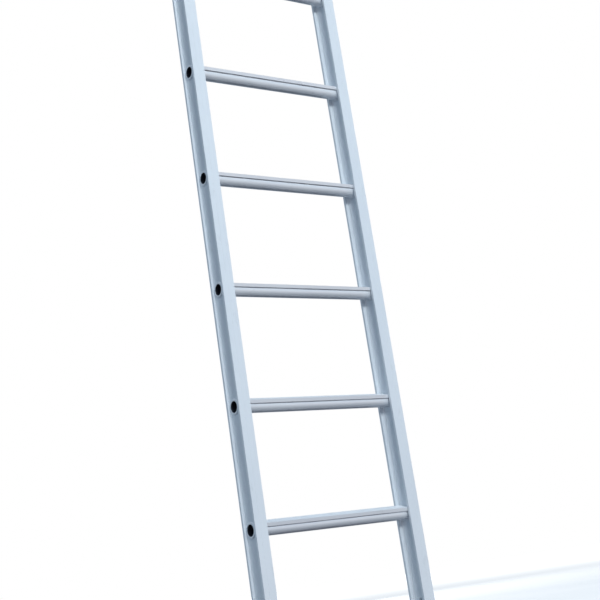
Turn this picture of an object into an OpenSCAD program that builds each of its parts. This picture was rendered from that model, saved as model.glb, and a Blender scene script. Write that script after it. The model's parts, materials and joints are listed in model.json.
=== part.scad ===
// Two-section aluminium extension ladder with swivel shoes and rung locks, in millimetres.
// +Z runs up the stiles, +X along the rungs and -Y is the climber's side.
// The origin is on the ground, in the middle of the ladder's width and depth.

/* [Ladder] */
// Width over both stiles
outer_w = 473; // [400:1:600]
// Distance from rung to rung
rung_pitch = 280; // [230:1:340]
// Height of the lowest rung above the ground
first_rung_h = 300; // [250:1:360]
// Stile length past the last rung of each section
stile_top_past = 110; // [95:1:160]
// Stile length below the first rung of the sliding section
stile_bottom_past = 120; // [100:1:160]
// Rung spacings by which the sliding section is raised
raised_steps = 6; // [1:1:7]
// Gap between the two sections
section_gap = 8; // [6:0.5:14]

/* [Stile] */
// Depth of a stile, front to back
stile_depth = 56; // [54:0.5:80]
// Width of the front and back flanges
flange_w = 31.5; // [28:0.5:45]
// How far the flanges stand past the outer web
outer_lip = 6; // [5:0.25:9]
// How far the flanges stand past the inner web
inner_lip = 11.5; // [9:0.5:16]
// Thickness of a hollow flange
flange_t = 6.5; // [5:0.25:8]
// Wall of the extrusion
stile_wall = 1.6; // [1.2:0.1:2.4]
// Fillet between the inner web and its flanges
inner_fillet = 4; // [1:0.25:5]
// Fillet between the outer web and its flanges
outer_fillet = 1; // [0.5:0.25:2]
// Distance of the marking line from the outer edge of a flange
line_in = 12; // [6:0.5:16]
// Width of the marking line
line_w = 0.9; // [0.5:0.1:1.5]
// Depth of the marking line
line_deep = 0.35; // [0.2:0.05:0.6]

/* [Rung] */
// Outer radius of the rung tube
rung_r = 15.5; // [12.5:0.25:17.5]
// Wall of the rung tube
rung_wall = 2; // [1.4:0.1:3]
// Clearance between the tread's corners and the stile's lips
tread_gap = 0.6; // [0.4:0.1:2]
// How far the tread surface stands above the tube
tread_rise = 1.5; // [0.25:0.25:2.5]
// Thickness of the tread plate
tread_t = 1.8; // [1.4:0.1:2.6]
// Height of the tread's front and back lips
tread_lip_h = 8.1; // [5:0.1:10]
// Thickness of those lips
tread_lip_t = 1.5; // [1.2:0.1:2]
// Thickness of the ribs that join the tread to the tube
rib_t = 1.6; // [1.2:0.1:2.4]
// Distance of those ribs from the middle of the tread
rib_in = 7; // [5:0.5:9]
// Angle that makes the tread level when the ladder leans
tread_tilt = 16.6; // [0:0.1:20]
// Distance from the tread's end to the inner web
tread_end_gap = 5; // [4:0.5:12]
// Number of anti-slip grooves in the tread
tread_grooves = 9; // [5:1:11]
// Distance between those grooves
groove_pitch = 3.3; // [2.5:0.1:3.6]
// Width of a groove
groove_w = 1.2; // [0.8:0.1:1.6]
// Depth of a groove
groove_deep = 0.6; // [0.3:0.1:0.8]
// How far the flared tube end stands out round the tube
flare_w = 3; // [2:0.25:4]
// How far the flare stands out of the outer web
flare_h = 2.5; // [1.5:0.25:3]
// How far the bead against the inner web stands out round the tube
bead_w = 2; // [1.5:0.25:3]
// Thickness of that bead
bead_h = 2.5; // [1.5:0.25:3.5]

/* [Guides] */
// Sheet thickness of a guide
guide_t = 3; // [2:0.25:4]
// Clearance between a folded guide and the corner that it steps over
fold_gap = 0.3; // [0.1:0.05:0.6]
// Height of a guide
guide_h = 70; // [50:1:75]
// Distance from a guide to the nearest flare
guide_rung_gap = 7; // [4:0.5:12]
// Distance from a guide's edge to the flange past it
guide_end_gap = 3; // [1:0.5:6]
// Distance of a guide's rivets from its ends
guide_rivet_in = 15; // [10:1:20]
// Thickness of the plastic liner
liner_t = 2; // [1.5:0.25:3]
// Running clearance between liner and stile
slide_gap = 0.5; // [0.3:0.1:1]
// Clearance between a sliding claw and a passing flare
claw_gap = 0.5; // [0.3:0.1:1]

/* [Rivets] */
// Radius of a rivet shank
rivet_r = 3; // [2:0.25:4]
// Radius of a rivet head
rivet_head_r = 5.5; // [4.5:0.25:6.5]
// Height of a rivet head
rivet_head_h = 1.8; // [1:0.1:2.4]

/* [Locks] */
// Distance of the lock pivot in front of the lower section
lock_pivot_front = 6.5; // [5:0.25:7.5]
// Height of the lock pivot above the rung axis
lock_pivot_up = 68; // [60:1:78]
// Thickness of a lock
lock_t = 8; // [6:0.5:10]
// Radius of the lock's hub
lock_hub_r = 11; // [10:0.5:12]
// Radius of the lock pin
lock_pin_r = 5; // [4:0.25:6]
// Radial running clearance of a pin or bolt
pin_gap = 0.05; // [0.02:0.01:0.1]
// Side clearance beside a moving piece
side_gap = 0.4; // [0.3:0.1:1]
// Clearance between the lock and the rung it stands on
seat_gap = 0.3; // [0.2:0.05:0.5]
// Thickness of the lock's foot
lock_foot_t = 10; // [8:0.5:12]
// How far the foot reaches in front of the pivot, along the tread
foot_ahead = 1.4; // [1:0.1:2]
// How far the hook reaches down behind the tread
hook_down = 12; // [8:0.5:16]
// Thickness of the hook behind the tread
hook_t = 9; // [7:0.5:10]
// Clearance between the hook and the tread's back edge
hook_gap = 1.5; // [1:0.25:3]
// Width of the leg between hub and foot
lock_leg_w = 14; // [11:0.5:16]
// Length of the thumb tab behind the hook
tab_l = 14; // [10:0.5:16]
// Thickness of the thumb tab
tab_t = 6; // [5:0.5:8]
// How far the tab's end stands above its root
tab_rise = 8; // [4:0.5:12]
// Radius of the hole that lightens the lock's web
lock_window_r = 6; // [3:0.5:7]
// Thickness of the lock bracket's plate and ears
lock_plate_t = 4; // [3:0.25:5]
// Half the spacing of a lock bracket's rivets, front to back
lock_rivet_y = 10.5; // [8:0.5:11]
// Clearance between a rivet head and the bracket's boss
rivet_boss_gap = 1.5; // [0.5:0.5:4]
// Distance from a lock bracket's rivets to the plate's ends
rivet_edge = 8; // [7:0.5:12]
// Depth of the bridge between the bracket's plate and its ears
bridge_t = 14; // [10:1:18]
// Distance from the bridge to the stile's back flange
bridge_gap = 8; // [6:0.5:12]
// Length of a lock pin's head
pin_head_t = 3; // [2:0.5:5]
// How far the pin's head stands out round the pin
pin_head_w = 2.5; // [1.5:0.5:4]
// Wire radius of the lock spring
spring_wire_r = 0.8; // [0.6:0.05:1]
// Mean radius of the lock spring
spring_r = 7.4; // [6.8:0.1:8.5]
// Length of the spring's arm along the lock
spring_arm = 20; // [14:1:26]
// Turns of the lock spring
spring_turns = 3; // [2:1:4]
// Gap between those turns
spring_turn_gap = 0.15; // [0.1:0.05:0.4]

/* [Shoes] */
// Height of the stile's lower end above the ground
stile_end_h = 48; // [46:1:60]
// Height of the shoe pivot above the ground
shoe_pivot_h = 32; // [31:0.5:33]
// Radius of the shoe bolt
shoe_bolt_r = 4; // [3:0.25:5]
// Radius of the rounded ears of a shoe
shoe_ear_r = 13; // [11:0.5:13.5]
// Thickness of an ear
shoe_ear_t = 5; // [4:0.25:7]
// Half the length of an ear where it meets the sole plate
ear_foot = 25; // [18:1:32]
// Length of a shoe, front to back
shoe_l = 120; // [100:1:150]
// Width of a shoe
shoe_w = 52; // [46:1:62]
// Thickness of the shoe's sole plate
shoe_plate_t = 7; // [5:0.5:8]
// Radius of the rim at each end of the sole plate
shoe_rim_r = 4; // [2:0.5:5]
// Thickness of a shoe bolt's washers
washer_t = 1.6; // [1:0.1:2.4]
// Thickness of the rubber pad
pad_t = 8; // [6:0.5:9]
// Number of tread blocks along the pad
pad_blocks = 8; // [5:1:12]
// Width of the slots between them
pad_slot_w = 4; // [2:0.5:5]
// Depth of those slots
pad_slot_deep = 3; // [1.5:0.5:4]
// Length of the bracket inside the stile
tongue_in = 62; // [50:1:90]
// Clearance of the bracket in the stile
tongue_gap = 0.2; // [0.1:0.05:0.4]
// Distance of the bracket's lower rivet from the stile's end
tongue_rivet_low = 20; // [12:1:26]
// Distance of its upper rivet from the bracket's end
tongue_rivet_in = 16; // [10:1:20]
// How much smaller the bracket's round end is than the ears beside it
tongue_inset = 1; // [0.5:0.5:3]
// Distance from the ears' top down to the bracket's shoulder
tongue_shoulder = 2; // [1:0.5:3]

/* [End caps] */
// Thickness of an end cap
cap_t = 4; // [3:0.5:6]
// Depth that a cap's plug goes into the stile
plug_l = 26; // [15:1:32]
// Clearance around a plug
plug_gap = 0.2; // [0.1:0.05:0.4]
// Height of the wall bumper on the sliding section
bumper_h = 58; // [40:1:80]
// How far the bumper stands behind the sliding section
bumper_back = 14; // [8:0.5:18]
// Height of the bumper's block below the part that stands back
bumper_lift = 10; // [6:1:20]
// Corner radius of the bumper
bumper_round = 6; // [3:0.5:7]

/* [Hidden] */
$fn = 48;
eps = 0.01;
cut = 1;
round_share = 0.8;
rungs = 9;
core_x = outer_lip;
core_w = flange_w - outer_lip - inner_lip;
web_in_x = core_x + core_w;
chamber_w = core_w - 2 * stile_wall;
chamber_d = stile_depth - 2 * flange_t;
tread_top = rung_r + tread_rise;
rib_top = tread_top - tread_t / 2;
rib_foot = sqrt(pow(rung_r, 2) - pow(rib_in + rib_t / 2, 2)) - rung_wall / 4;
tread_d = (chamber_d - 2 * tread_gap - 2 * tread_top * sin(tread_tilt)) / cos(tread_tilt);
flare_r = rung_r + flare_w;
bead_r = rung_r + bead_w;
fillet_in = min(inner_fillet, chamber_d / 2 - bead_r);
half_w = outer_w / 2;

total_depth = stile_depth + section_gap + max(stile_depth, (stile_depth + shoe_l) / 2);
fly_y = -total_depth / 2;
base_y = fly_y + stile_depth + section_gap;
base_mid_y = base_y + stile_depth / 2;
fly_mid_y = fly_y + stile_depth / 2;

base_top = first_rung_h + (rungs - 1) * rung_pitch + stile_top_past;
fly_rung_h = first_rung_h + raised_steps * rung_pitch;
fly_bottom = fly_rung_h - stile_bottom_past;
fly_top = fly_rung_h + (rungs - 1) * rung_pitch + stile_top_past;

base_guide_z = base_top - stile_top_past + flare_r + guide_rung_gap;
fly_guide_z = fly_rung_h - flare_r - guide_rung_gap - guide_h;
guide_out = slide_gap + liner_t;
claw_reach = outer_lip - flare_h - claw_gap;
guide_rivet_z = [guide_rivet_in, guide_h - guide_rivet_in];

// The lock is drawn in the tilted frame of the rung it stands on: a is along the tread, b is square to it.
pivot_dy = base_y - lock_pivot_front - base_mid_y;
pivot_a = pivot_dy * cos(tread_tilt) + lock_pivot_up * sin(tread_tilt);
pivot_b = lock_pivot_up * cos(tread_tilt) - pivot_dy * sin(tread_tilt);
pivot_y = base_y - lock_pivot_front;
pivot_z = fly_rung_h + lock_pivot_up;
foot_front = pivot_a - foot_ahead;
seat_b = tread_top + seat_gap;
hook_a = tread_d / 2 + hook_gap;
hook_end_b = tread_top - hook_down;
lock_x = flange_w + side_gap + lock_plate_t + side_gap;
spring_pitch = 2 * spring_wire_r + spring_turn_gap;
spring_l = (spring_turns + 1) * spring_pitch;
lock_ear_x = lock_x + lock_t + side_gap + spring_l + side_gap;
lock_end_x = lock_ear_x + lock_plate_t;
wire_step = 15;
wire_sides = 12;
boss_h = 2 * lock_hub_r;
ear_root_y = fly_y + stile_depth - flange_t - bridge_gap - bridge_t;
lock_rivet_off = lock_hub_r + rivet_boss_gap + rivet_head_r;
lock_rivet_z = [lock_pivot_up - lock_rivet_off, lock_pivot_up + lock_rivet_off];

shoe_mid_x = core_x + core_w / 2;
tongue_x = core_x + stile_wall + tongue_gap;
tongue_w = chamber_w - 2 * tongue_gap;
ear_out_x = tongue_x - side_gap - shoe_ear_t;
ear_in_x = tongue_x + tongue_w + side_gap;
plate_top_h = pad_t + shoe_plate_t;
tongue_rivet_z = [stile_end_h + tongue_rivet_low, stile_end_h + tongue_in - tongue_rivet_in];
bolt_flats = 3.25 * shoe_bolt_r;
bolt_head_t = 1.3 * shoe_bolt_r;
nut_t = 1.7 * shoe_bolt_r;
bolt_past_nut = 0.5 * shoe_bolt_r;
washer_r = 2 * shoe_bolt_r;

// Draws its children for the left side, with x measured inward from the outermost plane.
module left_side() {
    translate([-half_w, 0, 0]) children();
}

module right_side() {
    mirror([1, 0, 0]) left_side() children();
}

module both_sides() {
    left_side() children();
    right_side() children();
}

// Extrudes a y-z outline along +X from x.
module along_x(x, length) {
    translate([x, 0, 0]) rotate([90, 0, 90]) linear_extrude(length) children();
}

// A rod along +X from x, centred on y and z.
module rod_x(x, length, r, y, z) {
    translate([x, y, z]) rotate([0, 90, 0]) cylinder(r = r, h = length);
}

// A bar with round ends from point p to point q, in a plane.
module bar(p, q, w) {
    d = q - p;
    translate(p) rotate(atan2(d[1], d[0])) translate([0, -w / 2]) square([norm(d), w]);
    translate(p) circle(d = w);
    translate(q) circle(d = w);
}

// The material that rounds an inner corner at the origin, open towards +x and +y.
module corner_fill(r) {
    difference() {
        translate([-eps, -eps]) square(r + eps);
        translate([r, r]) circle(r = r);
    }
}

// Section of one stile: a hollow web between two hollow flanges, front face at y = 0.
module stile_outline() {
    flange_cavity = flange_t - 2 * stile_wall;
    difference() {
        union() {
            square([flange_w, flange_t]);
            translate([0, stile_depth - flange_t]) square([flange_w, flange_t]);
            translate([core_x, 0]) square([core_w, stile_depth]);
            translate([web_in_x, flange_t]) corner_fill(fillet_in);
            translate([web_in_x, stile_depth - flange_t]) mirror([0, 1]) corner_fill(fillet_in);
            translate([core_x, flange_t]) mirror([1, 0]) corner_fill(outer_fillet);
            translate([core_x, stile_depth - flange_t]) rotate(180) corner_fill(outer_fillet);
        }
        translate([stile_wall, stile_wall]) square([flange_w - 2 * stile_wall, flange_cavity]);
        translate([stile_wall, stile_depth - stile_wall - flange_cavity])
            square([flange_w - 2 * stile_wall, flange_cavity]);
        translate([core_x + stile_wall, flange_t]) square([chamber_w, chamber_d]);
        translate([line_in, -eps]) square([line_w, line_deep + eps]);
        translate([line_in, stile_depth - line_deep]) square([line_w, line_deep + eps]);
    }
}

// Rung holes through both webs, the first at height z.
module rung_holes(z) {
    for (i = [0 : rungs - 1])
        rod_x(core_x - cut, core_w + 2 * cut, rung_r, stile_depth / 2, z + i * rung_pitch);
}

module base_stile() {
    color([0.80, 0.84, 0.88]) translate([0, base_y, 0]) difference() {
        translate([0, 0, stile_end_h]) linear_extrude(base_top - stile_end_h) stile_outline();
        rung_holes(first_rung_h);
        for (z = tongue_rivet_z) rod_x(core_x - cut, core_w + 2 * cut, rivet_r, stile_depth / 2, z);
        guide_rivet_holes(base_guide_z);
    }
}

module fly_stile() {
    color([0.80, 0.84, 0.88]) translate([0, fly_y, 0]) difference() {
        translate([0, 0, fly_bottom]) linear_extrude(fly_top - fly_bottom) stile_outline();
        rung_holes(fly_rung_h);
        guide_rivet_holes(fly_guide_z);
        lock_rivets(web_in_x - stile_wall - cut, stile_wall + 2 * cut, rivet_r);
    }
}

// Two holes in the outer web for the rivets of a guide whose foot is at height z.
module guide_rivet_holes(z) {
    for (h = guide_rivet_z)
        rod_x(core_x - cut, stile_wall + 2 * cut, rivet_r, stile_depth / 2, z + h);
}

// Outline of the tread, with ribs down to the tube, lips that hang beside it and grooves along the top.
module tread_outline() {
    difference() {
        union() {
            translate([-tread_d / 2, tread_top - tread_t]) square([tread_d, tread_t]);
            for (s = [-1, 1])
                translate([s * (tread_d - tread_lip_t) / 2 - tread_lip_t / 2, tread_top - tread_lip_h])
                    square([tread_lip_t, tread_lip_h]);
            for (s = [-1, 1])
                translate([s * rib_in - rib_t / 2, rib_foot]) square([rib_t, rib_top - rib_foot]);
        }
        for (i = [0 : tread_grooves - 1])
            translate([(i - (tread_grooves - 1) / 2) * groove_pitch - groove_w / 2, tread_top - groove_deep])
                square([groove_w, groove_deep + eps]);
    }
}

// A ring round the X axis from x = 0 to x = h, with its outer end rounded off.
module rolled_ring(r_in, r_out, h) {
    round_r = min(h, r_out - r_in) * round_share;
    rotate([0, 90, 0]) rotate_extrude() {
        translate([r_in, 0]) square([r_out - r_in, h - round_r]);
        translate([r_in, 0]) square([r_out - r_in - round_r, h]);
        translate([r_out - round_r, h - round_r]) intersection() {
            circle(r = round_r);
            square(round_r);
        }
    }
}

// One rung, swaged into both stiles, with its axis at depth y and height z.
module rung(y, z) {
    tube_l = outer_w - 2 * core_x;
    tread_l = outer_w - 2 * (web_in_x + tread_end_gap);
    color([0.82, 0.85, 0.88]) translate([0, y, z]) difference() {
        union() {
            rod_x(-tube_l / 2, tube_l, rung_r, 0, 0);
            rotate([tread_tilt, 0, 0]) along_x(-tread_l / 2, tread_l) tread_outline();
            for (s = [0, 1]) mirror([s, 0, 0]) {
                translate([tube_l / 2, 0, 0]) rolled_ring(rung_r - rung_wall, flare_r, flare_h);
                translate([half_w - web_in_x, 0, 0]) mirror([1, 0, 0])
                    rolled_ring(rung_r - eps, bead_r, bead_h);
            }
        }
        rod_x(-half_w, outer_w, rung_r - rung_wall, 0, 0);
    }
}

module base_rung(i) {
    rung(base_mid_y, first_rung_h + (i - 1) * rung_pitch);
}

module fly_rung(i) {
    rung(fly_mid_y, fly_rung_h + (i - 1) * rung_pitch);
}

// Folded guide, seen from above. y = 0 is the face of the lip that it holds, and its own stile is on
// the +y side.
module guide_outline() {
    own_lip_y = 2 * flange_t + section_gap;
    own_end_y = own_lip_y + chamber_d - guide_end_gap;
    step_y = own_lip_y + outer_fillet + fold_gap;
    claw_y = -slide_gap - liner_t - guide_t;
    translate([core_x - guide_t, step_y]) square([guide_t, own_end_y - step_y]);
    translate([-guide_out - guide_t, step_y]) square([core_x + guide_out + guide_t, guide_t]);
    translate([-guide_out - guide_t, claw_y]) square([guide_t, step_y + guide_t - claw_y]);
    translate([-guide_out - guide_t, claw_y]) square([guide_out + guide_t + claw_reach, guide_t]);
}

module liner_outline() {
    back_y = flange_t + section_gap / 2;
    translate([-guide_out, -slide_gap - liner_t]) square([liner_t, back_y + slide_gap + liner_t]);
    translate([-guide_out, -slide_gap - liner_t]) square([guide_out + claw_reach, liner_t]);
}

// Places a guide outline on the lower section, so that it holds the sliding one.
module on_base() {
    translate([0, fly_y + stile_depth - flange_t, base_guide_z]) linear_extrude(guide_h) children();
}

// Places it on the sliding section, facing back, so that it holds the lower one.
module on_fly() {
    translate([0, base_y + flange_t, fly_guide_z]) linear_extrude(guide_h) mirror([0, 1]) children();
}

module base_guide() {
    color([0.66, 0.68, 0.70]) difference() {
        on_base() guide_outline();
        translate([0, base_y, 0]) for (h = guide_rivet_z)
            rod_x(core_x - guide_t - cut, guide_t + 2 * cut, rivet_r, stile_depth / 2, base_guide_z + h);
    }
}

module fly_guide() {
    color([0.66, 0.68, 0.70]) difference() {
        on_fly() guide_outline();
        translate([0, fly_y, 0]) for (h = guide_rivet_z)
            rod_x(core_x - guide_t - cut, guide_t + 2 * cut, rivet_r, stile_depth / 2, fly_guide_z + h);
    }
}

module base_guide_liners() {
    color([0.12, 0.12, 0.13]) both_sides() on_base() liner_outline();
}

module fly_guide_liners() {
    color([0.12, 0.12, 0.13]) both_sides() on_fly() liner_outline();
}

// A domed rivet head on the face x, pointing along -X or, with flip, +X.
module rivet_head(x, y, z, flip) {
    dome_r = (rivet_head_r * rivet_head_r + rivet_head_h * rivet_head_h) / (2 * rivet_head_h);
    translate([x, y, z]) mirror([flip ? 1 : 0, 0, 0]) intersection() {
        translate([dome_r - rivet_head_h, 0, 0]) sphere(r = dome_r);
        rod_x(-rivet_head_h, rivet_head_h, rivet_head_r, 0, 0);
    }
}

module guide_rivets(y, z) {
    color([0.60, 0.62, 0.64]) both_sides() for (h = guide_rivet_z) {
        rod_x(core_x - guide_t, guide_t + stile_wall, rivet_r, y, z + h);
        rivet_head(core_x - guide_t, y, z + h, false);
    }
}

module base_guide_rivets() {
    guide_rivets(base_mid_y, base_guide_z);
}

module fly_guide_rivets() {
    guide_rivets(fly_mid_y, fly_guide_z);
}

// The four rivets of a lock bracket, in the sliding stile's own depth.
module lock_rivets(x, length, r) {
    for (dy = [-1, 1] * lock_rivet_y, z = lock_rivet_z)
        rod_x(x, length, r, stile_depth / 2 + dy, fly_rung_h + z);
}

// Bracket in the inner recess of the sliding stile, with two ears that hold the lock pin.
module lock_bracket() {
    plate_w = chamber_d - 2 * fillet_in - 2 * side_gap;
    plate_z = fly_rung_h + lock_rivet_z[0] - rivet_edge;
    plate_h = 2 * (lock_rivet_off + rivet_edge);
    boss_z = pivot_z - lock_hub_r;
    color([0.55, 0.57, 0.60]) difference() {
        union() {
            translate([web_in_x, fly_mid_y - plate_w / 2, plate_z]) cube([lock_plate_t, plate_w, plate_h]);
            translate([web_in_x, ear_root_y, boss_z]) cube([lock_end_x - web_in_x, bridge_t, boss_h]);
            for (x = [lock_x - side_gap - lock_plate_t, lock_ear_x]) {
                translate([x, ear_root_y, boss_z]) cube([lock_plate_t, pivot_y - ear_root_y, boss_h]);
                rod_x(x, lock_plate_t, lock_hub_r, pivot_y, pivot_z);
            }
        }
        rod_x(web_in_x, lock_end_x, lock_pin_r, pivot_y, pivot_z);
        translate([0, fly_y, 0]) lock_rivets(web_in_x - cut, lock_plate_t + 2 * cut, rivet_r);
    }
}

module lock_bracket_rivets() {
    color([0.60, 0.62, 0.64]) both_sides() translate([0, fly_y, 0]) {
        lock_rivets(web_in_x - stile_wall, stile_wall + lock_plate_t, rivet_r);
        for (dy = [-1, 1] * lock_rivet_y, z = lock_rivet_z)
            rivet_head(web_in_x + lock_plate_t, stile_depth / 2 + dy, fly_rung_h + z, true);
    }
}

// Headed pins through both ears, with a shrunk-on ring at the inner end.
module lock_pins() {
    pin_x = lock_x - side_gap - lock_plate_t;
    color([0.45, 0.46, 0.48]) both_sides() {
        rod_x(pin_x, lock_end_x - pin_x, lock_pin_r, pivot_y, pivot_z);
        rod_x(lock_end_x, pin_head_t, lock_pin_r + pin_head_w, pivot_y, pivot_z);
    }
}

// Outline of the lock in the tilted frame of the rung: hub, web, foot, hook and thumb tab.
module lock_outline() {
    foot_top = seat_b + lock_foot_t;
    tab_b = foot_top - tab_t / 2;
    hook_mid_a = hook_a + hook_t / 2;
    hook_mid_b = hook_end_b + hook_t / 2;
    difference() {
        union() {
            translate([pivot_a, pivot_b]) circle(r = lock_hub_r);
            polygon([
                [pivot_a - lock_leg_w / 2, pivot_b], [foot_front, foot_top], [foot_front, seat_b],
                [hook_a + eps, seat_b], [hook_a + eps, foot_top], [pivot_a + lock_leg_w / 2, pivot_b]
            ]);
            translate([hook_a, hook_mid_b]) square([hook_t, foot_top - hook_mid_b]);
            translate([hook_mid_a, hook_mid_b]) circle(d = hook_t);
            bar([hook_mid_a, tab_b - tab_t / 4], [hook_mid_a + tab_l, tab_b + tab_rise], tab_t);
        }
        translate([pivot_a, pivot_b]) circle(r = lock_pin_r + pin_gap);
        translate([pivot_a + spring_r, pivot_b - spring_arm]) circle(r = spring_wire_r + pin_gap);
        translate([foot_front + 2 * lock_window_r, (foot_top + pivot_b) / 2 - lock_window_r])
            circle(r = lock_window_r);
    }
}

module rung_lock() {
    color([0.50, 0.52, 0.55]) translate([0, base_mid_y, fly_rung_h]) rotate([tread_tilt, 0, 0])
        along_x(lock_x, lock_t) lock_outline();
}

// Centre line of the torsion spring, about the lock pin: free arm, turns, and an arm whose end is bent
// into the lock. The free arm stays short enough to pass the bracket's bridge as the lock swings.
function spring_path() =
    let (coil_x = lock_x + lock_t + side_gap + spring_wire_r)
    let (sweep = 90 - tread_tilt + 360 * (spring_turns - 1))
    let (reach = pivot_y - ear_root_y - bridge_t - side_gap)
    let (free_arm = sqrt(pow(reach, 2) - pow(spring_r + spring_wire_r, 2)))
    let (steps = ceil(sweep / wire_step))
    let (coil_l = sweep / 360 * spring_pitch)
    let (down = [0, sin(tread_tilt), -cos(tread_tilt)])
    let (last = [coil_x, spring_r * cos(tread_tilt), spring_r * sin(tread_tilt)])
    concat(
        [[coil_x + coil_l, -free_arm, spring_r]],
        [for (i = [0 : steps]) let (t = i / steps, q = 90 - sweep * t)
            [coil_x + coil_l * (1 - t), spring_r * cos(q), spring_r * sin(q)]],
        [last + down * spring_arm, last + down * spring_arm - [coil_x - lock_x - lock_t / 2, 0, 0]]
    );

function unit(v) = v / norm(v);

// Direction of a path at its point i, halfway between the stretches before and after.
function along(path, i) =
    let (before = path[max(i, 1)] - path[max(i, 1) - 1])
    let (after = path[min(i, len(path) - 2) + 1] - path[min(i, len(path) - 2)])
    unit(unit(before) + unit(after));

// A round wire of radius r along a path. Each ring turns as little as it can from the one before.
module wire(path, r, sides) {
    n = len(path);
    side = [for (i = 0, u = cross(along(path, 0), [1, 0, 0]); i < n;
        i = i + 1, u = i < n ? u - along(path, i) * (u * along(path, i)) : u) unit(u)];
    points = [for (i = [0 : n - 1], k = [0 : sides - 1]) let (t = along(path, i), q = 360 * k / sides)
        path[i] + r * (cos(q) * side[i] + sin(q) * cross(t, side[i]))];
    skin = [for (i = [0 : n - 2], k = [0 : sides - 1])
        let (a = i * sides + k, b = i * sides + (k + 1) % sides)
        each [[a, a + sides, b], [b, a + sides, b + sides]]];
    ends = [[for (k = [0 : sides - 1]) k], [for (k = [sides - 1 : -1 : 0]) (n - 1) * sides + k]];
    polyhedron(points = points, faces = concat(skin, ends));
}

module lock_spring() {
    color([0.70, 0.71, 0.73]) translate([0, pivot_y, pivot_z]) wire(spring_path(), spring_wire_r, wire_sides);
}

// Bracket that fills the web chamber and carries the shoe pivot below the stile.
module shoe_bracket() {
    tongue_d = chamber_d - 2 * tongue_gap;
    round_r = shoe_ear_r - tongue_inset;
    shoulder_z = shoe_pivot_h + shoe_ear_r - tongue_shoulder;
    color([0.62, 0.64, 0.66]) translate([0, base_y, 0]) difference() {
        union() {
            translate([tongue_x, flange_t + tongue_gap, shoulder_z])
                cube([tongue_w, tongue_d, stile_end_h + tongue_in - shoulder_z]);
            rod_x(tongue_x, tongue_w, round_r, stile_depth / 2, shoe_pivot_h);
            translate([tongue_x, stile_depth / 2 - round_r, shoe_pivot_h])
                cube([tongue_w, 2 * round_r, shoe_ear_r]);
        }
        rod_x(0, flange_w, shoe_bolt_r, stile_depth / 2, shoe_pivot_h);
        for (z = tongue_rivet_z) rod_x(0, flange_w, rivet_r, stile_depth / 2, z);
    }
}

module shoe_bracket_rivets() {
    color([0.60, 0.62, 0.64]) both_sides() for (z = tongue_rivet_z) {
        rod_x(core_x, core_w, rivet_r, base_mid_y, z);
        rivet_head(core_x, base_mid_y, z, false);
        rivet_head(web_in_x, base_mid_y, z, true);
    }
}

// Outline of one ear of a shoe, centred on the pivot, with sides that touch its round end.
module ear_outline() {
    drop = shoe_pivot_h - plate_top_h;
    touch = acos(shoe_ear_r / norm([ear_foot, drop])) - atan2(drop, ear_foot);
    touch_y = shoe_ear_r * cos(touch);
    touch_z = shoe_ear_r * sin(touch);
    difference() {
        union() {
            circle(r = shoe_ear_r);
            polygon([[-ear_foot, -drop], [ear_foot, -drop], [touch_y, touch_z], [-touch_y, touch_z]]);
        }
        circle(r = shoe_bolt_r + pin_gap);
    }
}

// Swivel shoe: sole plate with two ears and a raised rim at each end.
module shoe() {
    color([0.58, 0.60, 0.63]) translate([0, base_mid_y, 0]) {
        translate([0, 0, shoe_pivot_h]) {
            along_x(ear_out_x, shoe_ear_t) ear_outline();
            along_x(ear_in_x, shoe_ear_t) ear_outline();
        }
        translate([shoe_mid_x - shoe_w / 2, -shoe_l / 2, pad_t]) cube([shoe_w, shoe_l, shoe_plate_t]);
        for (s = [-1, 1])
            rod_x(shoe_mid_x - shoe_w / 2, shoe_w, shoe_rim_r, s * (shoe_l / 2 - shoe_rim_r), plate_top_h);
    }
}

// Rubber pad under a shoe, with slots across it.
module shoe_pad() {
    block = shoe_l / pad_blocks;
    color([0.06, 0.06, 0.06]) translate([shoe_mid_x - shoe_w / 2, base_mid_y - shoe_l / 2, 0]) difference() {
        cube([shoe_w, shoe_l, pad_t]);
        for (i = [1 : pad_blocks - 1])
            translate([-cut, i * block - pad_slot_w / 2, -cut])
                cube([shoe_w + 2 * cut, pad_slot_w, pad_slot_deep + cut]);
    }
}

// Hexagon of the given width across flats, along X from x.
module hex_x(x, length, flats) {
    translate([x, base_mid_y, shoe_pivot_h]) rotate([0, 90, 0])
        cylinder(d = flats / cos(30), h = length, $fn = 6);
}

module shoe_bolts() {
    shank_l = ear_in_x + shoe_ear_t - ear_out_x + 2 * washer_t + nut_t + bolt_past_nut;
    color([0.70, 0.71, 0.73]) both_sides() {
        hex_x(ear_out_x - washer_t - bolt_head_t, bolt_head_t, bolt_flats);
        rod_x(ear_out_x - washer_t, shank_l, shoe_bolt_r, base_mid_y, shoe_pivot_h);
    }
}

module shoe_washers() {
    color([0.72, 0.73, 0.74]) both_sides() for (x = [ear_out_x - washer_t, ear_in_x + shoe_ear_t])
        difference() {
            rod_x(x, washer_t, washer_r, base_mid_y, shoe_pivot_h);
            rod_x(x - cut, washer_t + 2 * cut, shoe_bolt_r, base_mid_y, shoe_pivot_h);
        }
}

module shoe_nuts() {
    nut_x = ear_in_x + shoe_ear_t + washer_t;
    color([0.72, 0.73, 0.74]) both_sides() difference() {
        hex_x(nut_x, nut_t, bolt_flats);
        rod_x(nut_x - cut, nut_t + 2 * cut, shoe_bolt_r, base_mid_y, shoe_pivot_h);
    }
}

// Plug that a cap pushes into the web chamber, from the cap at z = 0 down.
module plug(y) {
    translate([core_x + stile_wall + plug_gap, y + flange_t + plug_gap, -plug_l])
        cube([chamber_w - 2 * plug_gap, chamber_d - 2 * plug_gap, plug_l]);
}

module base_top_caps() {
    color([0.10, 0.10, 0.11]) both_sides() translate([0, 0, base_top]) {
        translate([0, base_y, 0]) cube([flange_w, stile_depth, cap_t]);
        plug(base_y);
    }
}

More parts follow.
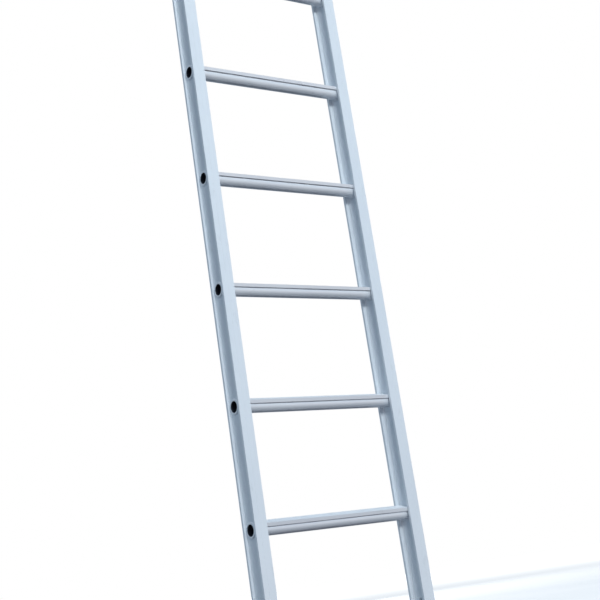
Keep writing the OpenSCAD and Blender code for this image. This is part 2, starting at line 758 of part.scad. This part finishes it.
module fly_bottom_caps() {
    color([0.10, 0.10, 0.11]) both_sides() translate([0, 0, fly_bottom]) mirror([0, 0, 1]) {
        translate([0, fly_y, 0]) cube([flange_w, stile_depth, cap_t]);
        plug(fly_y);
    }
}

// Rubber bumper on the sliding stile's end. It stands back so that it meets the wall first.
module wall_bumper() {
    r = bumper_round;
    depth = stile_depth + bumper_back;
    color([0.07, 0.07, 0.07]) translate([0, 0, fly_top]) {
        translate([0, fly_y, 0]) cube([flange_w, stile_depth, bumper_lift + r]);
        along_x(0, flange_w) {
            translate([fly_y, bumper_lift]) square([depth, bumper_h - bumper_lift - r]);
            translate([fly_y + r, bumper_lift]) square([depth - 2 * r, bumper_h - bumper_lift]);
            for (y = [fly_y + r, fly_y + depth - r])
                translate([y, bumper_h - r]) circle(r = r);
        }
        plug(fly_y);
    }
}

left_side() base_stile();  // base_left_stile
right_side() base_stile();  // base_right_stile
base_rung(1);  // base_rung_1
base_rung(2);  // base_rung_2
base_rung(3);  // base_rung_3
base_rung(4);  // base_rung_4
base_rung(5);  // base_rung_5
base_rung(6);  // base_rung_6
base_rung(7);  // base_rung_7
base_rung(8);  // base_rung_8
base_rung(9);  // base_rung_9
left_side() fly_stile();  // fly_left_stile
right_side() fly_stile();  // fly_right_stile
fly_rung(1);  // fly_rung_1
fly_rung(2);  // fly_rung_2
fly_rung(3);  // fly_rung_3
fly_rung(4);  // fly_rung_4
fly_rung(5);  // fly_rung_5
fly_rung(6);  // fly_rung_6
fly_rung(7);  // fly_rung_7
fly_rung(8);  // fly_rung_8
fly_rung(9);  // fly_rung_9
left_side() base_guide();  // base_guide_left
right_side() base_guide();  // base_guide_right
base_guide_liners();
base_guide_rivets();
left_side() fly_guide();  // fly_guide_left
right_side() fly_guide();  // fly_guide_right
fly_guide_liners();
fly_guide_rivets();
left_side() lock_bracket();  // lock_bracket_left
right_side() lock_bracket();  // lock_bracket_right
lock_bracket_rivets();
lock_pins();
left_side() rung_lock();  // rung_lock_left
right_side() rung_lock();  // rung_lock_right
left_side() lock_spring();  // lock_spring_left
right_side() lock_spring();  // lock_spring_right
left_side() shoe_bracket();  // shoe_bracket_left
right_side() shoe_bracket();  // shoe_bracket_right
shoe_bracket_rivets();
shoe_bolts();
shoe_nuts();
shoe_washers();
left_side() shoe();  // shoe_left
right_side() shoe();  // shoe_right
left_side() shoe_pad();  // shoe_pad_left
right_side() shoe_pad();  // shoe_pad_right
base_top_caps();
fly_bottom_caps();
left_side() wall_bumper();  // wall_bumper_left
right_side() wall_bumper();  // wall_bumper_right
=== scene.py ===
"""Looks, light and camera for the two-section aluminium extension ladder.

Metres, in the ladder's own frame: +Z up the stiles, +X along the rungs, -Y the climber's side.
"""

import json
import math

import bpy
from mathutils import Matrix, Vector


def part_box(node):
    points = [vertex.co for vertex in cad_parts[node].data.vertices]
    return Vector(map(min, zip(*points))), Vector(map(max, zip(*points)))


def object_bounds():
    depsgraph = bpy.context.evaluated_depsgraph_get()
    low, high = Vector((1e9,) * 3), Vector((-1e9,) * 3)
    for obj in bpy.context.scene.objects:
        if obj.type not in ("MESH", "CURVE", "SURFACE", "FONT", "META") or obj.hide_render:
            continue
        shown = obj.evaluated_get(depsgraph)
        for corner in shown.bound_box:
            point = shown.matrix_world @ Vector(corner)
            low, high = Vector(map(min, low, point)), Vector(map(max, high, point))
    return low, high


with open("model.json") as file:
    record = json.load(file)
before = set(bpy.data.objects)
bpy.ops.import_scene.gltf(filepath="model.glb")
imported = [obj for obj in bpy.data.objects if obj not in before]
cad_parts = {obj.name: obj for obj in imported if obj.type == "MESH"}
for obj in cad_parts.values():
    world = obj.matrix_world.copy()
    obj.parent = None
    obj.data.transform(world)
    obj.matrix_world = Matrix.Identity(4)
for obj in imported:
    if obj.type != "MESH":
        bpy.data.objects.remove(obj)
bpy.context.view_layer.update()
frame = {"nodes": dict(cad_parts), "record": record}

NODES = frame["nodes"]

# The rung that the camera is set by, and the camera's place from the left stile's outer front edge.
AIM_RUNG = "base_rung_3"
CAMERA_OFFSET = Vector((-1.3462, -2.1649, -0.7029))
CAMERA_RIGHT = Vector((0.8238, -0.5478, -0.1460))
CAMERA_AHEAD = Vector((0.5666, 0.7869, 0.2444))
LENS = 68.14
SENSOR = 36.0

# The open rung bores, from the record's mounts: their axes and their radius.
BORES = {mount["name"]: mount for mount in frame["record"]["mounts"] if mount["kind"] == "bore"}
BORE_R = BORES["base_rung_1_bore"]["dims"]["r_mm"] / 1000

# Painted shade inside the open rung bores: its near-black colour, and how far past the bore's radius
# it holds and ends.
PAINTED_BORE_SHADE = (0.030, 0.035, 0.050, 1.0)
BORE_EDGE = 0.00005
BORE_FADE = 0.0002

# Corner rounding: on sharp metal and on soft or cast pieces, and the corners it takes.
BEVEL_FINE = 0.00035
BEVEL_SOFT = 0.0008
BEVEL_ANGLE = math.radians(40)
SOFT_SLOTS = ("pad_rubber", "bumper_rubber", "cap_plastic", "cast_aluminium")

# Worn corners: their width on each kind of surface, and the cosines between the rounded and the
# true normal at which wear starts and is full.
WEAR_EXTRUDED = 0.0009
WEAR_WORKED = 0.0007
WEAR_MOULDED = 0.0012
WEAR_START = 0.99
WEAR_FULL = 0.75
WEAR_SAMPLES = 4

# Extruded metal: pattern scales, and how much of each scale is left along the extrusion.
DIE_LINES = 900
DIE_BANDS = 150
OXIDE_CLOUDS = 9
SCUFFS = 60
LINE_DRAW = 0.012
CLOUD_DRAW = 0.45
SCUFF_DRAW = 0.3
BAND_HEIGHT = 0.6

WHITE = (1.0, 1.0, 1.0, 1.0)
SCUFF_GREY = (0.52, 0.55, 0.58, 1.0)
RUBBED_MILL = (0.93, 0.95, 0.97, 1.0)
RUBBED_METAL = (0.88, 0.89, 0.90, 1.0)
SCUFFED_PALER = 4
ALONG_X, ALONG_Z = 0, 2


def middle(node):
    low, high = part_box(node)
    return (Vector(low) + Vector(high)) / 2


# ---------------------------------------------------------------- materials


class Shader:
    """A Principled material whose nodes are made and joined by short calls."""

    def __init__(self, name):
        self.material = bpy.data.materials.new(name)
        self.material.use_nodes = True
        self.nodes = self.material.node_tree.nodes
        self.links = self.material.node_tree.links
        self.surface = self.nodes["Principled BSDF"]
        self.place = self.nodes.new("ShaderNodeTexCoord").outputs["Object"]

    def set(self, **values):
        for key, value in values.items():
            self.surface.inputs[key.replace("_", " ")].default_value = value

    def join(self, source, target):
        self.links.new(source, target)

    def stretched(self, scale):
        """The object's own coordinates, scaled by axis."""
        node = self.nodes.new("ShaderNodeMapping")
        node.inputs["Scale"].default_value = scale
        self.join(self.place, node.inputs["Vector"])
        return node.outputs["Vector"]

    def noise(self, scale, stretch=(1, 1, 1), detail=3.0, rough=0.5):
        node = self.nodes.new("ShaderNodeTexNoise")
        node.inputs["Scale"].default_value = scale
        node.inputs["Detail"].default_value = detail
        node.inputs["Roughness"].default_value = rough
        self.join(self.stretched(stretch), node.inputs["Vector"])
        return node.outputs["Fac"]

    def specks(self, scale, stretch=(1, 1, 1)):
        node = self.nodes.new("ShaderNodeTexVoronoi")
        node.inputs["Scale"].default_value = scale
        self.join(self.stretched(stretch), node.inputs["Vector"])
        return node.outputs["Distance"]

    def ramp(self, source, *stops):
        """A colour ramp of two stops, each a (position, colour)."""
        node = self.nodes.new("ShaderNodeValToRGB")
        for element, (position, colour) in zip(node.color_ramp.elements, stops):
            element.position = position
            element.color = (*colour, 1.0)
        self.join(source, node.inputs["Fac"])
        return node.outputs["Color"]

    def feed(self, socket, value):
        """Joins a socket to another one, or gives it a plain value."""
        if isinstance(value, bpy.types.NodeSocket):
            self.join(value, socket)
        else:
            socket.default_value = value

    def blend(self, factor, first, second):
        node = self.nodes.new("ShaderNodeMix")
        node.data_type = "RGBA"
        for index, value in ((0, factor), (6, first), (7, second)):
            self.feed(node.inputs[index], value)
        return node.outputs[2]

    def span(self, source, low, high, to_low, to_high):
        node = self.nodes.new("ShaderNodeMapRange")
        for index, value in enumerate((low, high, to_low, to_high), start=1):
            node.inputs[index].default_value = value
        self.join(source, node.inputs["Value"])
        return node.outputs["Result"]

    def maths(self, operation, first, second=0.0):
        node = self.nodes.new("ShaderNodeMath")
        node.operation = operation
        self.feed(node.inputs[0], first)
        self.feed(node.inputs[1], second)
        return node.outputs["Value"]

    def edge_wear(self, radius):
        """1 on worn corners and 0 on flat faces, from how the rounded normal leaves the true one."""
        bevel = self.nodes.new("ShaderNodeBevel")
        bevel.samples = WEAR_SAMPLES
        bevel.inputs["Radius"].default_value = radius
        flat = self.nodes.new("ShaderNodeNewGeometry")
        dot = self.nodes.new("ShaderNodeVectorMath")
        dot.operation = "DOT_PRODUCT"
        self.join(bevel.outputs["Normal"], dot.inputs[0])
        self.join(flat.outputs["Normal"], dot.inputs[1])
        return self.span(dot.outputs["Value"], WEAR_START, WEAR_FULL, 0.0, 1.0)

    def bump(self, height, strength, distance):
        node = self.nodes.new("ShaderNodeBump")
        node.inputs["Strength"].default_value = strength
        node.inputs["Distance"].default_value = distance
        self.join(height, node.inputs["Height"])
        self.join(node.outputs["Normal"], self.surface.inputs["Normal"])


def bore_shade_mask(s):
    """1 on the walls of the rung bores and 0 elsewhere, by the distance to the nearest rung axis:
    where the shade inside the bores is painted.
    """
    split = s.nodes.new("ShaderNodeSeparateXYZ")
    s.join(s.place, split.inputs["Vector"])
    rungs = ("base_rung_1", "base_rung_2", "fly_rung_1")
    first, second, fly = (Vector(BORES[rung + "_bore"]["pos_m"]) for rung in rungs)
    pitch = second.z - first.z
    turns = s.maths("DIVIDE", s.maths("SUBTRACT", split.outputs["Z"], first.z), pitch)
    rise = s.maths("MULTIPLY", s.maths("SUBTRACT", turns, s.maths("ROUND", turns)), pitch)
    depths = [
        s.maths("ABSOLUTE", s.maths("SUBTRACT", split.outputs["Y"], axis.y)) for axis in (first, fly)]
    depth = s.maths("MINIMUM", *depths)
    away = s.maths("ADD", s.maths("POWER", rise, 2.0), s.maths("POWER", depth, 2.0))
    return s.span(s.maths("POWER", away, 0.5), BORE_R + BORE_EDGE, BORE_R + BORE_FADE, 1.0, 0.0)


def extruded(name, along, light, dark, rough, metallic):
    """Mill-finish extrusion: die lines along one axis, cloudy oxide, scuffs and rubbed corners, and
    on the rungs a painted shade inside the bores.
    """
    s = Shader(name)

    def drawn(share):
        return tuple(share if axis == along else 1.0 for axis in range(3))

    lines = s.noise(DIE_LINES, drawn(LINE_DRAW), 2.0)
    bands = s.noise(DIE_BANDS, drawn(LINE_DRAW), 2.0)
    cloud = s.noise(OXIDE_CLOUDS, drawn(CLOUD_DRAW), 5.0, 0.6)
    scuffs = s.noise(SCUFFS, drawn(SCUFF_DRAW), 6.0, 0.75)
    tone = s.ramp(cloud, (0.32, dark), (0.68, light))
    tone = s.blend(s.span(lines, 0.3, 0.7, 0.0, 0.22), tone, (*dark, 1.0))
    tone = s.blend(s.span(scuffs, 0.60, 0.78, 0.0, 0.35), tone, SCUFF_GREY)
    tone = s.blend(s.span(s.edge_wear(WEAR_EXTRUDED), 0.0, 1.0, 0.0, 0.5), tone, RUBBED_MILL)
    # Painted shade: the walls inside the rung bores are coloured near-black.
    if name == "rung_aluminium":
        tone = s.blend(bore_shade_mask(s), tone, PAINTED_BORE_SHADE)
    s.join(tone, s.surface.inputs["Base Color"])
    band_rough = s.span(bands, 0.3, 0.7, -0.05, 0.05)
    cloud_rough = s.span(cloud, 0.3, 0.7, rough - 0.05, rough + 0.07)
    s.join(s.maths("ADD", band_rough, cloud_rough), s.surface.inputs["Roughness"])
    s.set(Metallic=metallic)
    s.bump(s.maths("ADD", lines, s.maths("MULTIPLY", bands, BAND_HEIGHT)), 0.12, 0.0002)
    return s.material


def worked(name, light, dark, rough, grain, depth):
    """Cast, rolled or plated metal: fine grain, cloudy tone, bright corners."""
    s = Shader(name)
    cloud = s.noise(28, detail=5.0, rough=0.6)
    fine = s.noise(grain, detail=4.0, rough=0.65)
    tone = s.ramp(cloud, (0.30, dark), (0.70, light))
    tone = s.blend(s.span(fine, 0.35, 0.7, 0.0, 0.25), tone, (*dark, 1.0))
    tone = s.blend(s.span(s.edge_wear(WEAR_WORKED), 0.0, 1.0, 0.0, 0.6), tone, RUBBED_METAL)
    s.join(tone, s.surface.inputs["Base Color"])
    s.join(s.span(cloud, 0.3, 0.7, rough - 0.06, rough + 0.08), s.surface.inputs["Roughness"])
    s.set(Metallic=1.0)
    s.bump(fine, 0.25, depth)
    return s.material


def moulded(name, light, dark, rough, grain, depth):
    """Moulded plastic or rubber: fine grain, dusty patches, scuffed paler corners."""
    s = Shader(name)
    dust = s.noise(22, detail=6.0, rough=0.7)
    fine = s.specks(grain)
    tone = s.ramp(dust, (0.35, dark), (0.75, light))
    scuffed = tuple(SCUFFED_PALER * channel for channel in light) + (1.0,)
    tone = s.blend(s.span(s.edge_wear(WEAR_MOULDED), 0.0, 1.0, 0.0, 0.45), tone, scuffed)
    s.join(tone, s.surface.inputs["Base Color"])
    s.join(s.span(dust, 0.3, 0.7, rough - 0.07, rough + 0.09), s.surface.inputs["Roughness"])
    s.bump(fine, 0.3, depth)
    return s.material


# How each slot is made. Extruded: the axis it runs along, light and dark tone, roughness, metallic.
# Worked and moulded: light and dark tone, roughness, scale of the grain, depth of the grain.
RECIPES = {
    "stile_aluminium": (extruded, ALONG_Z, (0.86, 0.91, 0.95), (0.80, 0.85, 0.90), 0.36, 0.25),
    "rung_aluminium": (extruded, ALONG_X, (0.93, 0.96, 0.99), (0.86, 0.89, 0.94), 0.34, 0.30),
    "guide_aluminium": (worked, (0.70, 0.73, 0.76), (0.58, 0.61, 0.64), 0.38, 500, 0.0001),
    "cast_aluminium": (worked, (0.62, 0.64, 0.67), (0.46, 0.48, 0.51), 0.48, 350, 0.0003),
    "zinc_steel": (worked, (0.66, 0.67, 0.68), (0.50, 0.52, 0.55), 0.33, 600, 0.0001),
    "spring_steel": (worked, (0.52, 0.53, 0.55), (0.38, 0.39, 0.42), 0.27, 900, 0.00005),
    "rivet_steel": (worked, (0.74, 0.75, 0.76), (0.58, 0.60, 0.62), 0.30, 700, 0.00005),
    "liner_plastic": (moulded, (0.045, 0.045, 0.05), (0.022, 0.022, 0.025), 0.50, 900, 0.0001),
    "cap_plastic": (moulded, (0.040, 0.040, 0.044), (0.018, 0.018, 0.020), 0.46, 1100, 0.00015),
    "pad_rubber": (moulded, (0.035, 0.034, 0.033), (0.014, 0.014, 0.014), 0.74, 700, 0.0003),
    "bumper_rubber": (moulded, (0.036, 0.036, 0.037), (0.015, 0.015, 0.016), 0.68, 800, 0.0003),
}
MATERIALS = {slot: make(slot, *values) for slot, (make, *values) in RECIPES.items()}


def dress(node, slot):
    """Gives a CAD node its material, and rounds its sharp corners a little."""
    piece = NODES[node]
    piece.data.materials.clear()
    piece.data.materials.append(MATERIALS[slot])
    bevel = piece.modifiers.new("corners", "BEVEL")
    bevel.width = BEVEL_SOFT if slot in SOFT_SLOTS else BEVEL_FINE
    bevel.segments = 2
    bevel.limit_method = "ANGLE"
    bevel.angle_limit = BEVEL_ANGLE


for part in frame["record"]["subparts"]:
    dress(part["node"], part["material_slot"])


# ---------------------------------------------------------------- camera


def add_camera():
    left_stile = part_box("base_left_stile")
    rung = middle(AIM_RUNG)
    anchor = Vector((left_stile[0][0], left_stile[0][1], rung.z))
    data = bpy.data.cameras.new("camera")
    data.lens = LENS
    data.sensor_width = SENSOR
    ahead = CAMERA_AHEAD.normalized()
    right = (CAMERA_RIGHT - ahead * CAMERA_RIGHT.dot(ahead)).normalized()
    up = right.cross(ahead)
    turn = Matrix((right, up, -ahead)).transposed()
    camera = bpy.data.objects.new("camera", data)
    camera.matrix_world = Matrix.Translation(anchor + CAMERA_OFFSET) @ turn.to_4x4()
    bpy.context.scene.collection.objects.link(camera)
    bpy.context.scene.camera = camera


add_camera()


# ---------------------------------------------------------------- light and stage

# Colours of the studio round the ladder, by direction.
SKY_FRONT = (0.36, 0.46, 0.58, 1.0)
SKY_LOW = (0.46, 0.42, 0.44, 1.0)
SKY_BACK = (0.62, 0.68, 0.76, 1.0)
SKY_SIDE = (0.17, 0.25, 0.33, 1.0)
SKY_TOP = (0.50, 0.56, 0.63, 1.0)
SKY_UNDER = (0.06, 0.075, 0.10, 1.0)

# Where each of those colours starts and is full, by the y or z of the direction.
LOW_SPAN = (0.22, -0.10)
FRONT_SPAN = (0.20, -0.60)
BACK_SPAN = (0.84, 0.97)
TOP_SPAN = (0.45, 0.85)
UNDER_SPAN = (-0.15, -0.65)

# Softboxes: name, place, aim, width, power and colour. Heights are shares of the ladder's height.
SOFTBOXES = (
    ("key", (-1.2, -5.5, 0.85), (0.0, 0.0, 0.3), 1.4, 275, (0.91, 0.98, 1.0)),
    ("overhead", (-1.0, 1.5, 1.7), (0.0, 0.0, 0.0), 5.0, 60, (0.96, 0.98, 1.0)),
    ("back", (1.6, 5.6, 0.6), (0.0, 0.0, 0.4), 3.0, 190, (1.0, 0.97, 0.93)),
)

# The floor: its size, its glow, and the distances between which the glow grows from near to far.
FLOOR_SIZE = 600.0
FLOOR_GLOW = (1.0, 0.95, 0.88, 1.0)
FLOOR_NEAR, FLOOR_FAR = 3.0, 14.0
GLOW_NEAR, GLOW_FAR = 0.08, 0.95


def add_world():
    """A pale studio: white to the camera, and to the metal a blue front, dark sides and pale back."""
    world = bpy.data.worlds.new("studio")
    bpy.context.scene.world = world
    world.use_nodes = True
    nodes, links = world.node_tree.nodes, world.node_tree.links
    background = nodes["Background"]
    split = nodes.new("ShaderNodeSeparateXYZ")
    links.new(nodes.new("ShaderNodeTexCoord").outputs["Generated"], split.inputs["Vector"])

    def span(source, low, high):
        node = nodes.new("ShaderNodeMapRange")
        node.interpolation_type = "SMOOTHSTEP"
        node.inputs["From Min"].default_value = low
        node.inputs["From Max"].default_value = high
        links.new(source, node.inputs["Value"])
        return node.outputs["Result"]

    def mix(factor, first, second):
        node = nodes.new("ShaderNodeMix")
        node.data_type = "RGBA"
        links.new(factor, node.inputs[0])
        for socket, value in ((node.inputs[6], first), (node.inputs[7], second)):
            if isinstance(value, bpy.types.NodeSocket):
                links.new(value, socket)
            else:
                socket.default_value = value
        return node.outputs[2]

    y, z = split.outputs["Y"], split.outputs["Z"]
    front = mix(span(z, *LOW_SPAN), SKY_FRONT, SKY_LOW)
    colour = mix(span(y, *FRONT_SPAN), SKY_SIDE, front)
    colour = mix(span(y, *BACK_SPAN), colour, SKY_BACK)
    colour = mix(span(z, *TOP_SPAN), colour, SKY_TOP)
    colour = mix(span(z, *UNDER_SPAN), colour, SKY_UNDER)
    path = nodes.new("ShaderNodeLightPath")
    colour = mix(path.outputs["Is Camera Ray"], colour, WHITE)
    links.new(colour, background.inputs["Color"])
    background.inputs["Strength"].default_value = 1.0


def add_softbox(top, name, place, aim, width, power, colour):
    place, aim = (Vector((x, y, share * top)) for x, y, share in (place, aim))
    data = bpy.data.lights.new(name, "AREA")
    data.shape = "RECTANGLE"
    data.size = data.size_y = width
    data.energy = power
    data.color = colour
    light = bpy.data.objects.new(name, data)
    light.location = place
    light.rotation_euler = (aim - place).to_track_quat("-Z", "Y").to_euler()
    light.visible_camera = False
    light.visible_glossy = False
    bpy.context.scene.collection.objects.link(light)


def add_floor():
    """A plain pale floor at the lowest point of the ladder, which fades to white far away."""
    mesh = bpy.data.meshes.new("floor")
    half = FLOOR_SIZE / 2
    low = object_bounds()[0][2]
    corners = [(-half, -half, low), (half, -half, low), (half, half, low), (-half, half, low)]
    mesh.from_pydata(corners, [], [(0, 1, 2, 3)])
    floor = bpy.data.objects.new("floor", mesh)
    bpy.context.scene.collection.objects.link(floor)
    s = Shader("floor")
    tone = s.ramp(s.noise(1.2, detail=3.0), (0.3, (0.86, 0.87, 0.88)), (0.7, (0.90, 0.905, 0.91)))
    s.join(tone, s.surface.inputs["Base Color"])
    s.set(Roughness=0.9, Emission_Color=FLOOR_GLOW)
    reach = s.nodes.new("ShaderNodeVectorMath")
    reach.operation = "LENGTH"
    s.join(s.place, reach.inputs[0])
    glow = s.span(reach.outputs["Value"], FLOOR_NEAR, FLOOR_FAR, GLOW_NEAR, GLOW_FAR)
    s.join(glow, s.surface.inputs["Emission Strength"])
    mesh.materials.append(s.material)
    floor.visible_glossy = False
    floor.visible_diffuse = False


add_world()
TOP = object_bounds()[1][2]
for softbox in SOFTBOXES:
    add_softbox(TOP, *softbox)
add_floor()
bpy.context.scene.view_settings.view_transform = "Standard"
